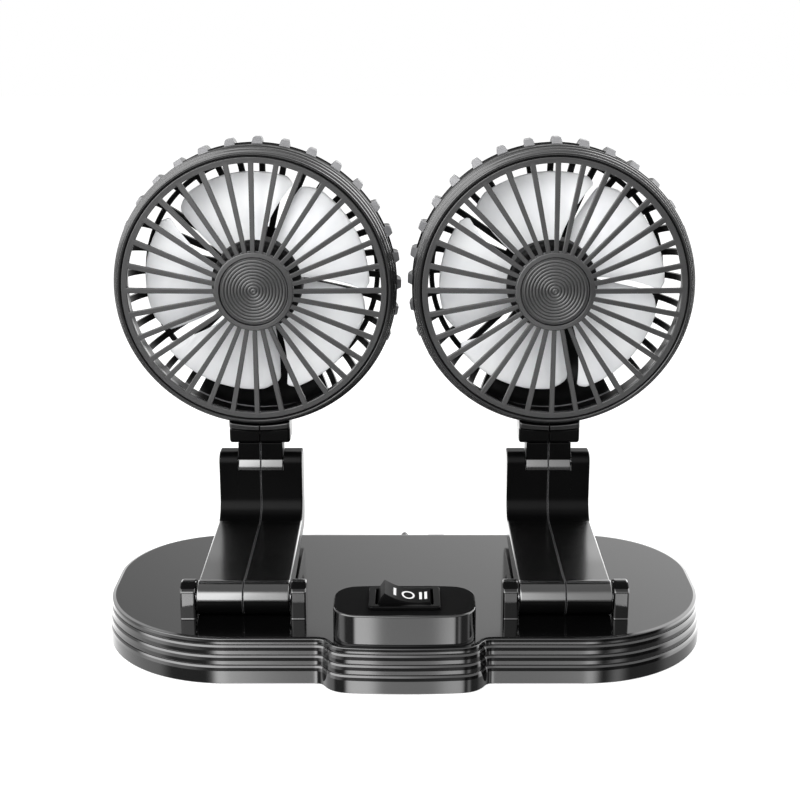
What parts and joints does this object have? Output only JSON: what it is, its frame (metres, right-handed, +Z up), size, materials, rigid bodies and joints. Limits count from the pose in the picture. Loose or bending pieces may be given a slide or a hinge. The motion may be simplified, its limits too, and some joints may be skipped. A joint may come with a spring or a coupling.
{
  "type": "dual head car fan",
  "caption": "Dashboard fan with paired round caged heads that swivel and tilt on folding arms, above a wide stepped base with a rocker switch and a tied power cord.",
  "frame": {"origin": "on the surface that the feet stand on, at the middle of the width and depth without the cord", "axes": "+X to the right head seen from the front, +Y to the back, +Z up; the grilles face -Y"},
  "size_m": [0.2636, 0.1685, 0.2074],
  "materials": {
    "gloss_black": "gloss",
    "base_black": "gloss",
    "satin_grey": "satin",
    "cage_grey": "satin",
    "white_blade": "semi gloss",
    "steel": "brushed",
    "rubber": "matte",
    "board_green": "satin",
    "cord_black": "satin"
  },
  "bodies": {
    "base": {"base_shell": "base_black", "base_plate": "satin_grey", "foot_1": "rubber", "foot_2": "rubber", "foot_3": "rubber", "foot_4": "rubber", "plate_screw_1": "steel", "plate_screw_2": "steel", "plate_screw_3": "steel", "plate_screw_4": "steel", "circuit_board": "board_green", "switch_housing": "gloss_black", "cord_boot": "cord_black", "power_cord": "cord_black", "cord_hank": "cord_black", "cord_tail": "cord_black", "cord_tie": "rubber", "plug_body": "cord_black", "plug_shell": "steel"},
    "rocker": {"switch_rocker": "gloss_black"},
    "arm_left": {"arm_inner_left": "gloss_black", "arm_outer_left": "gloss_black", "arm_screw_1_left": "steel", "arm_screw_2_left": "steel", "fold_pin_left": "steel", "tilt_pin_left": "steel"},
    "neck_left": {"tab_left_left": "gloss_black", "tab_right_left": "gloss_black", "swivel_post_left": "steel"},
    "head_left": {"bracket_left_left": "gloss_black", "bracket_right_left": "gloss_black", "rear_housing_left": "cage_grey", "bezel_ring_left": "satin_grey", "front_grille_left": "satin_grey", "grille_cap_left": "satin_grey", "motor_left": "steel"},
    "rotor_left": {"impeller_left": "white_blade", "motor_shaft_left": "steel"},
    "arm_right": {"arm_inner_right": "gloss_black", "arm_outer_right": "gloss_black", "arm_screw_1_right": "steel", "arm_screw_2_right": "steel", "fold_pin_right": "steel", "tilt_pin_right": "steel"},
    "neck_right": {"tab_left_right": "gloss_black", "tab_right_right": "gloss_black", "swivel_post_right": "steel"},
    "head_right": {"bracket_left_right": "gloss_black", "bracket_right_right": "gloss_black", "rear_housing_right": "cage_grey", "bezel_ring_right": "satin_grey", "front_grille_right": "satin_grey", "grille_cap_right": "satin_grey", "motor_right": "steel"},
    "rotor_right": {"impeller_right": "white_blade", "motor_shaft_right": "steel"}
  },
  "joints": [
    {"name": "rocker_tip", "type": "hinge", "parent": "base", "child": "rocker", "pos_m": [0, -0.0592, 0.0313], "axis": [0, -1, 0], "range_deg": [0, 22]},
    {"name": "arm_fold_left", "type": "hinge", "parent": "base", "child": "arm_left", "pos_m": [-0.0668, -0.0427, 0.0275], "axis": [1, 0, 0], "range_deg": [0, 90]},
    {"name": "head_tilt_left", "type": "hinge", "parent": "arm_left", "child": "neck_left", "pos_m": [-0.0668, 0.0455, 0.0585], "axis": [1, 0, 0], "range_deg": [-90, 30]},
    {"name": "head_swivel_left", "type": "hinge", "parent": "neck_left", "child": "head_left", "pos_m": [-0.0668, 0.0455, 0.0691], "axis": [0, 0, 1], "range_deg": [-90, 90]},
    {"name": "impeller_spin_left", "type": "hinge", "parent": "head_left", "child": "rotor_left", "pos_m": [-0.0668, 0.0494, 0.1424], "axis": [0, 1, 0], "continuous": true},
    {"name": "arm_fold_right", "type": "hinge", "parent": "base", "child": "arm_right", "pos_m": [0.0668, -0.0427, 0.0275], "axis": [1, 0, 0], "range_deg": [0, 90]},
    {"name": "head_tilt_right", "type": "hinge", "parent": "arm_right", "child": "neck_right", "pos_m": [0.0668, 0.0455, 0.0585], "axis": [1, 0, 0], "range_deg": [-90, 30]},
    {"name": "head_swivel_right", "type": "hinge", "parent": "neck_right", "child": "head_right", "pos_m": [0.0668, 0.0455, 0.0691], "axis": [0, 0, 1], "range_deg": [-90, 90]},
    {"name": "impeller_spin_right", "type": "hinge", "parent": "head_right", "child": "rotor_right", "pos_m": [0.0668, 0.0494, 0.1424], "axis": [0, 1, 0], "continuous": true}
  ]
}
